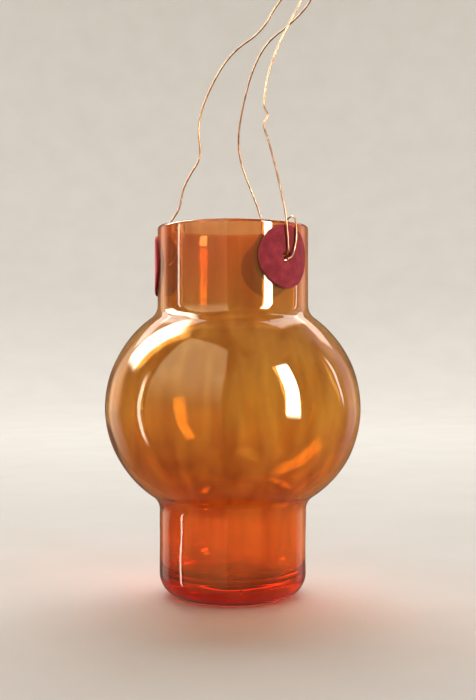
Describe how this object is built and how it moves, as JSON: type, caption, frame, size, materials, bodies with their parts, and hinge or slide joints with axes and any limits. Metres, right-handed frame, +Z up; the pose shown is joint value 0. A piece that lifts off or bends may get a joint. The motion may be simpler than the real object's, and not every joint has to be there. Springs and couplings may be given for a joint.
{
  "type": "hanging glass lantern",
  "caption": "Amber blown-glass lantern with an open neck, a round globe and a straight foot cup, hung from thin copper wires laced through felt washers.",
  "frame": {"origin": "centre of the foot's underside, on the axis of the glass", "axes": "+Z up the axis of the glass towards the neck, -Y the front with one felt washer in view, +X to the viewer's right"},
  "size_m": [0.0818, 0.0818, 0.2268],
  "materials": {
    "amber_glass": "gloss",
    "crimson_felt": "matte",
    "copper_wire": "satin"
  },
  "bodies": {
    "lantern": {"glass_vessel": "amber_glass", "outer_felt_washer_front": "crimson_felt", "inner_felt_washer_front": "crimson_felt", "outer_felt_washer_left": "crimson_felt", "inner_felt_washer_left": "crimson_felt", "outer_felt_washer_back": "crimson_felt", "inner_felt_washer_back": "crimson_felt", "hanging_wire_front": "copper_wire", "hanging_wire_left": "copper_wire", "hanging_wire_back": "copper_wire"},
    "hanger": {"hanging_eye": "copper_wire"}
  },
  "joints": [
    {"name": "hanger_lean", "type": "hinge", "parent": "lantern", "child": "hanger", "pos_m": [0, 0, 0.1183], "axis": [0, 1, 0], "range_deg": [-18, 12], "stiffness_Nm_per_rad": 0.06, "deforming": ["hanging_wire_front", "hanging_wire_left", "hanging_wire_back"]}
  ]
}
